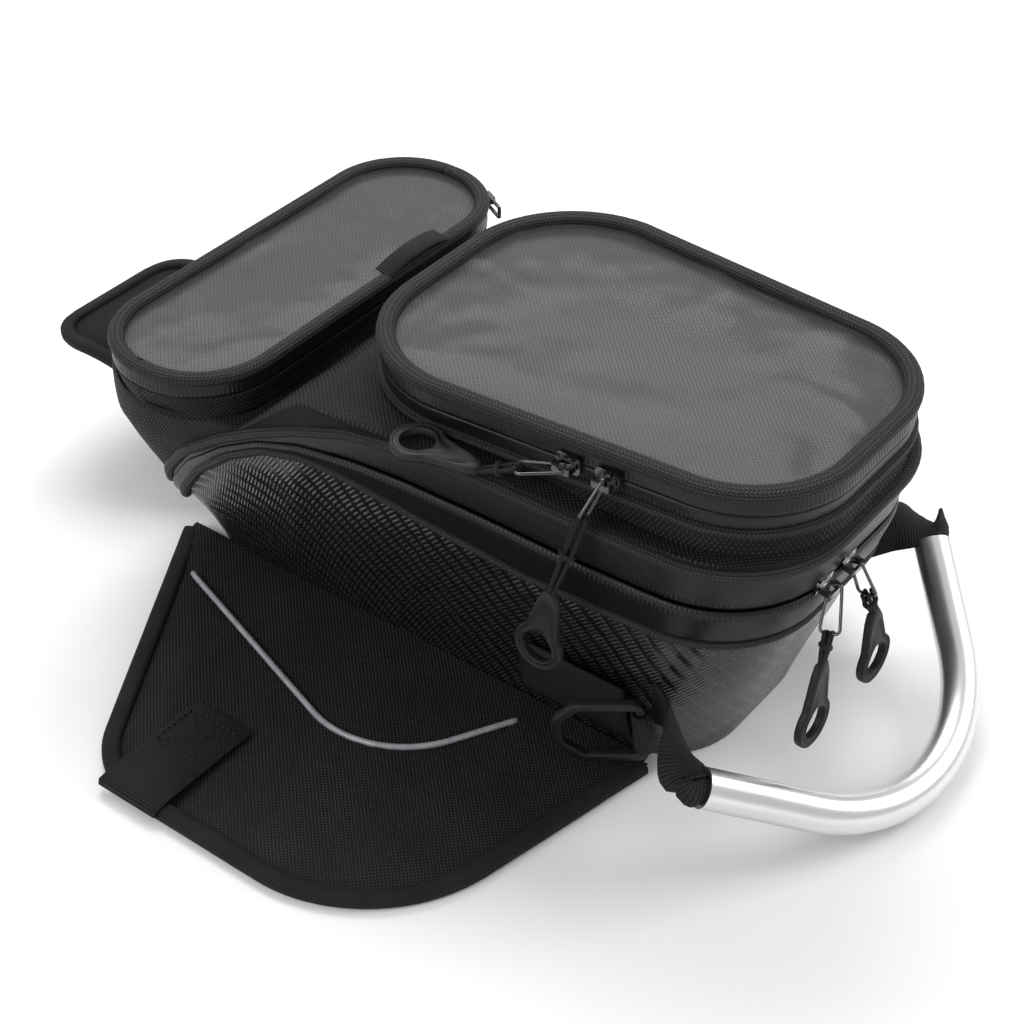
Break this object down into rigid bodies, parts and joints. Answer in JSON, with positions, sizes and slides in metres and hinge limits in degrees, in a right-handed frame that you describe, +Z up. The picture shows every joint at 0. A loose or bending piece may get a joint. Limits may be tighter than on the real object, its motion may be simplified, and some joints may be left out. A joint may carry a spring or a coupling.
{
  "type": "tank bag",
  "caption": "Magnetic motorcycle tank bag with a zipped lid, a clear map pocket, a small front pocket, magnet wings, side D-rings and a rear tube handle.",
  "frame": {"origin": "bottom centre of the whole object, on the surface it rests on", "axes": "+X to the bag's right, +Y forward along the motorcycle, +Z up"},
  "size_m": [0.443, 0.5135, 0.175],
  "materials": {
    "shell_fabric": "coarse two-tone ballistic weave",
    "mesh_fabric": "open mesh over black cloth",
    "base_board": "plain sheet",
    "zip_tape": "satin coated tape",
    "piping": "textured cloth over cord",
    "clear_window": "clear soft vinyl",
    "liner_fabric": "fine diamond weave",
    "webbing": "ribbed webbing",
    "wing_fabric": "smooth coated cloth over foam",
    "binding": "ribbed edge tape",
    "magnet": "plated",
    "reflective": "silver-grey reflective",
    "aluminium_tube": "satin",
    "ring_plastic": "moulded",
    "slider_metal": "glossy black",
    "pull_cord": "braided",
    "pull_rubber": "matte moulded"
  },
  "bodies": {
    "bag": {"base_panel": "shell_fabric", "base_board": "base_board", "lower_shell": "shell_fabric", "main_zip_tape_lower": "zip_tape", "main_piping_lower": "piping", "ring_patches": "webbing", "ring_loops": "webbing"},
    "lid": {"lid_shell": "shell_fabric", "main_zip_tape_upper": "zip_tape", "main_piping_upper": "piping", "map_gusset": "mesh_fabric", "map_wall_lower": "zip_tape", "map_piping_lower": "piping", "front_pocket_base": "shell_fabric", "front_wall_lower": "shell_fabric"},
    "map_lid": {"map_wall_upper": "zip_tape", "map_piping_upper": "piping", "map_window": "clear_window", "map_liner": "liner_fabric"},
    "front_lid": {"front_wall_upper": "shell_fabric", "front_piping": "piping", "front_window": "clear_window", "front_liner": "liner_fabric", "front_pocket_tab": "webbing"},
    "front_flap": {"flap_pad": "wing_fabric", "flap_binding": "binding", "flap_magnets": "magnet"},
    "handle": {"handle_tube": "aluminium_tube", "handle_strap_left": "webbing", "handle_strap_right": "webbing"},
    "d_ring_left": {"d_ring_left": "ring_plastic"},
    "d_ring_right": {"d_ring_right": "ring_plastic"},
    "front_slider": {"front_pocket_slider": "slider_metal"},
    "front_puller": {"front_pocket_bail": "slider_metal"},
    "wing_left": {"wing_pad_left": "wing_fabric", "wing_magnets_left": "magnet", "wing_binding_left": "binding", "wing_reflective_left": "reflective", "wing_tab_left": "webbing"},
    "wing_right": {"wing_pad_right": "wing_fabric", "wing_magnets_right": "magnet", "wing_binding_right": "binding", "wing_reflective_right": "reflective", "wing_tab_right": "webbing"},
    "main_left_slider": {"main_left_slider": "slider_metal"},
    "main_left_puller": {"main_left_bail": "slider_metal", "main_left_cord": "pull_cord", "main_left_pull": "pull_rubber"},
    "main_right_slider": {"main_right_slider": "slider_metal"},
    "main_right_puller": {"main_right_bail": "slider_metal", "main_right_cord": "pull_cord", "main_right_pull": "pull_rubber"},
    "map_front_slider": {"map_front_slider": "slider_metal"},
    "map_front_puller": {"map_front_bail": "slider_metal", "map_front_cord": "pull_cord", "map_front_pull": "pull_rubber"},
    "map_rear_slider": {"map_rear_slider": "slider_metal"},
    "map_rear_puller": {"map_rear_bail": "slider_metal", "map_rear_cord": "pull_cord", "map_rear_pull": "pull_rubber"}
  },
  "joints": [
    {"name": "lid_hinge", "type": "hinge", "parent": "bag", "child": "lid", "pos_m": [0, 0.1612, 0.038], "axis": [-1, 0, 0], "range_deg": [0, 38]},
    {"name": "map_lid_hinge", "type": "hinge", "parent": "lid", "child": "map_lid", "pos_m": [0, 0.0279, 0.163], "axis": [-1, 0, 0], "range_deg": [0, 70]},
    {"name": "front_lid_hinge", "type": "hinge", "parent": "lid", "child": "front_lid", "pos_m": [0, 0.1544, 0.1315], "axis": [-1, 0, 0], "range_deg": [0, 60]},
    {"name": "wing_left_fold", "type": "hinge", "parent": "bag", "child": "wing_left", "pos_m": [-0.0668, 0.0005, 0.0025], "axis": [0, 1, 0], "range_deg": [-50, 2]},
    {"name": "wing_right_fold", "type": "hinge", "parent": "bag", "child": "wing_right", "pos_m": [0.0668, 0.0005, 0.0025], "axis": [0, -1, 0], "range_deg": [-50, 2]},
    {"name": "front_flap_fold", "type": "hinge", "parent": "bag", "child": "front_flap", "pos_m": [0, 0.1525, 0.005], "axis": [1, 0, 0], "range_deg": [-25, 2]},
    {"name": "handle_swing", "type": "hinge", "parent": "bag", "child": "handle", "pos_m": [0, -0.1635, 0.03], "axis": [-1, 0, 0], "range_deg": [-6, 38]},
    {"name": "d_ring_left_swing", "type": "hinge", "parent": "bag", "child": "d_ring_left", "pos_m": [-0.0747, -0.14225, 0.03321], "axis": [-0.1772, 0, 0.9842], "range_deg": [-25, 36]},
    {"name": "d_ring_right_swing", "type": "hinge", "parent": "bag", "child": "d_ring_right", "pos_m": [0.0747, -0.14225, 0.03321], "axis": [-0.1772, 0, -0.9842], "range_deg": [-25, 36]},
    {"name": "main_left_zip", "type": "slide", "parent": "bag", "child": "main_left_slider", "axis": [-1, 0, 0], "range_m": [0, 0.012]},
    {"name": "main_right_zip", "type": "slide", "parent": "bag", "child": "main_right_slider", "axis": [1, 0, 0], "range_m": [0, 0.03]},
    {"name": "main_left_pull_swing", "type": "hinge", "parent": "main_left_slider", "child": "main_left_puller", "pos_m": [-0.027, -0.20352, 0.11195], "axis": [-1, 0, 0], "range_deg": [0, 60]},
    {"name": "main_right_pull_swing", "type": "hinge", "parent": "main_right_slider", "child": "main_right_puller", "pos_m": [-0.008, -0.20352, 0.11195], "axis": [-1, 0, 0], "range_deg": [0, 60]},
    {"name": "map_front_zip", "type": "slide", "parent": "lid", "child": "map_front_slider", "axis": [-0.0422, 0.9991, 0], "range_m": [0, 0.055]},
    {"name": "map_rear_zip", "type": "slide", "parent": "lid", "child": "map_rear_slider", "axis": [0.0422, -0.9991, 0], "range_m": [0, 0.028]},
    {"name": "map_front_pull_swing", "type": "hinge", "parent": "map_front_slider", "child": "map_front_puller", "pos_m": [-0.08044, -0.1025, 0.163], "axis": [0, 0, 1], "range_deg": [0, 60]},
    {"name": "map_rear_pull_swing", "type": "hinge", "parent": "map_rear_slider", "child": "map_rear_puller", "pos_m": [-0.08244, -0.1215, 0.163], "axis": [0, 1, 0], "range_deg": [0, 22]},
    {"name": "front_zip", "type": "hinge", "parent": "lid", "child": "front_slider", "pos_m": [0.0735, 0.108, 0.1315], "axis": [0, 0, -1], "range_deg": [0, 40]},
    {"name": "front_pull_swing", "type": "hinge", "parent": "front_slider", "child": "front_puller", "pos_m": [0.11306, 0.08697, 0.1315], "axis": [0, 0, 1], "range_deg": [0, 15]}
  ]
}
